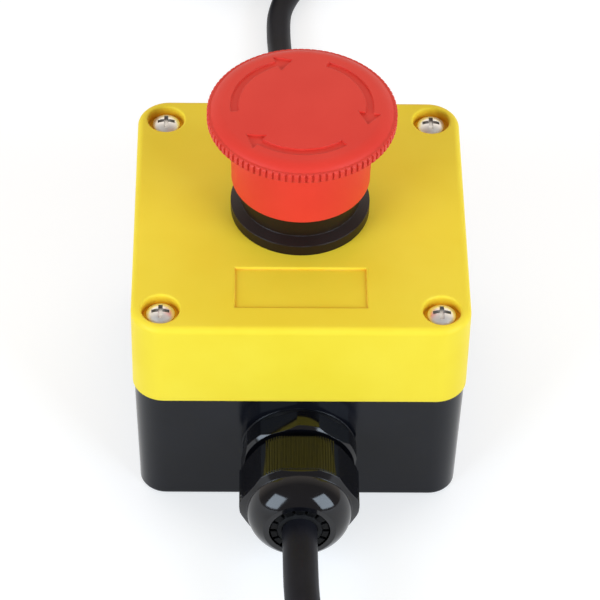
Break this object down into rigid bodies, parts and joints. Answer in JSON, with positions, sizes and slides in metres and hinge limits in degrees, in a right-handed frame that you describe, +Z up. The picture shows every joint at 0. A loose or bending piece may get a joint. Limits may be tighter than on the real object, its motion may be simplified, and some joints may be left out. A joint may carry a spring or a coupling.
{
  "type": "emergency stop switch",
  "caption": "Boxed emergency stop switch with a twist-release mushroom button, break contacts and a cable gland with a lead at each end.",
  "frame": {"origin": "middle of the box's underside, which is also the middle of the box and glands seen from above", "axes": "+Z up along the button, +Y from the front gland to the rear gland, +X to the right seen from the front"},
  "size_m": [0.0906, 0.3993, 0.0834],
  "materials": {
    "base_plastic": "moulded, glossy black",
    "lid_plastic": "moulded, glossy yellow",
    "cap_plastic": "moulded, satin red",
    "collar_plastic": "moulded, glossy black",
    "gland_nylon": "moulded nylon, satin black",
    "white_nylon": "moulded nylon, natural",
    "block_plastic": "moulded, dark grey",
    "cover_plastic": "moulded, grey",
    "plunger_plastic": "moulded, red",
    "splice_plastic": "moulded, pale grey",
    "seal_rubber": "moulded rubber",
    "zinc_steel": "zinc plated",
    "bright_steel": "turned",
    "spring_steel": "drawn wire",
    "contact_brass": "stamped",
    "lead_sheath": "extruded black sheath",
    "core_insulation": "extruded insulation",
    "tie_strap": "woven hook-and-loop strap"
  },
  "bodies": {
    "enclosure": {"base_shell": "base_plastic", "lid_shell": "lid_plastic", "lid_gasket": "seal_rubber", "lid_screws": "zinc_steel", "bezel_collar": "collar_plastic", "collar_gasket": "seal_rubber", "collar_nut": "collar_plastic", "return_spring": "spring_steel", "contact_carrier": "block_plastic", "earth_joint": "splice_plastic", "left_block_housing": "block_plastic", "left_block_cover": "cover_plastic", "left_block_fixed_contacts": "contact_brass", "left_block_terminal_screws": "zinc_steel", "left_block_spring": "spring_steel", "right_block_housing": "block_plastic", "right_block_cover": "cover_plastic", "right_block_fixed_contacts": "contact_brass", "right_block_terminal_screws": "zinc_steel", "right_block_spring": "spring_steel", "front_gland_body": "gland_nylon", "front_gland_washer": "seal_rubber", "front_gland_locknut": "gland_nylon", "front_gland_nut": "gland_nylon", "front_gland_claw": "gland_nylon", "front_gland_seal": "seal_rubber", "front_lead": "lead_sheath", "front_tie": "tie_strap", "front_coil": "lead_sheath", "front_lead_end": "core_insulation", "front_cores": "core_insulation", "rear_gland_body": "gland_nylon", "rear_gland_washer": "seal_rubber", "rear_gland_locknut": "gland_nylon", "rear_gland_nut": "gland_nylon", "rear_gland_claw": "gland_nylon", "rear_gland_seal": "seal_rubber", "rear_lead": "lead_sheath", "rear_tie": "tie_strap", "rear_coil": "lead_sheath", "rear_lead_end": "core_insulation", "rear_cores": "core_insulation"},
    "pusher": {"pusher": "white_nylon", "pusher_foot": "white_nylon", "reset_spring": "spring_steel"},
    "head": {"mushroom_head": "cap_plastic", "head_stem": "bright_steel", "twist_pin": "bright_steel", "stem_clip": "spring_steel"},
    "left_contact": {"left_block_plunger": "plunger_plastic", "left_block_bridge": "contact_brass"},
    "right_contact": {"right_block_plunger": "plunger_plastic", "right_block_bridge": "contact_brass"}
  },
  "joints": [
    {"name": "press", "type": "slide", "parent": "enclosure", "child": "pusher", "axis": [0, 0, -1], "range_m": [0, 0.005], "stiffness_N_per_m": 3000, "springref_m": -0.001, "deforming": ["return_spring"]},
    {"name": "twist", "type": "hinge", "parent": "pusher", "child": "head", "pos_m": [0, 0.0015, 0.07], "axis": [0, 0, -1], "range_deg": [0, 45], "stiffness_Nm_per_rad": 0.02, "springref_deg": -5.73},
    {"name": "left_contact_travel", "type": "slide", "parent": "enclosure", "child": "left_contact", "axis": [0, 0, -1], "range_m": [0, 0.005], "deforming": ["left_block_spring"]},
    {"name": "right_contact_travel", "type": "slide", "parent": "enclosure", "child": "right_contact", "axis": [0, 0, -1], "range_m": [0, 0.005], "deforming": ["right_block_spring"]}
  ],
  "couplings": [
    {"joint": "left_contact_travel", "follows": "press", "ratio": 1},
    {"joint": "right_contact_travel", "follows": "press", "ratio": 1}
  ]
}
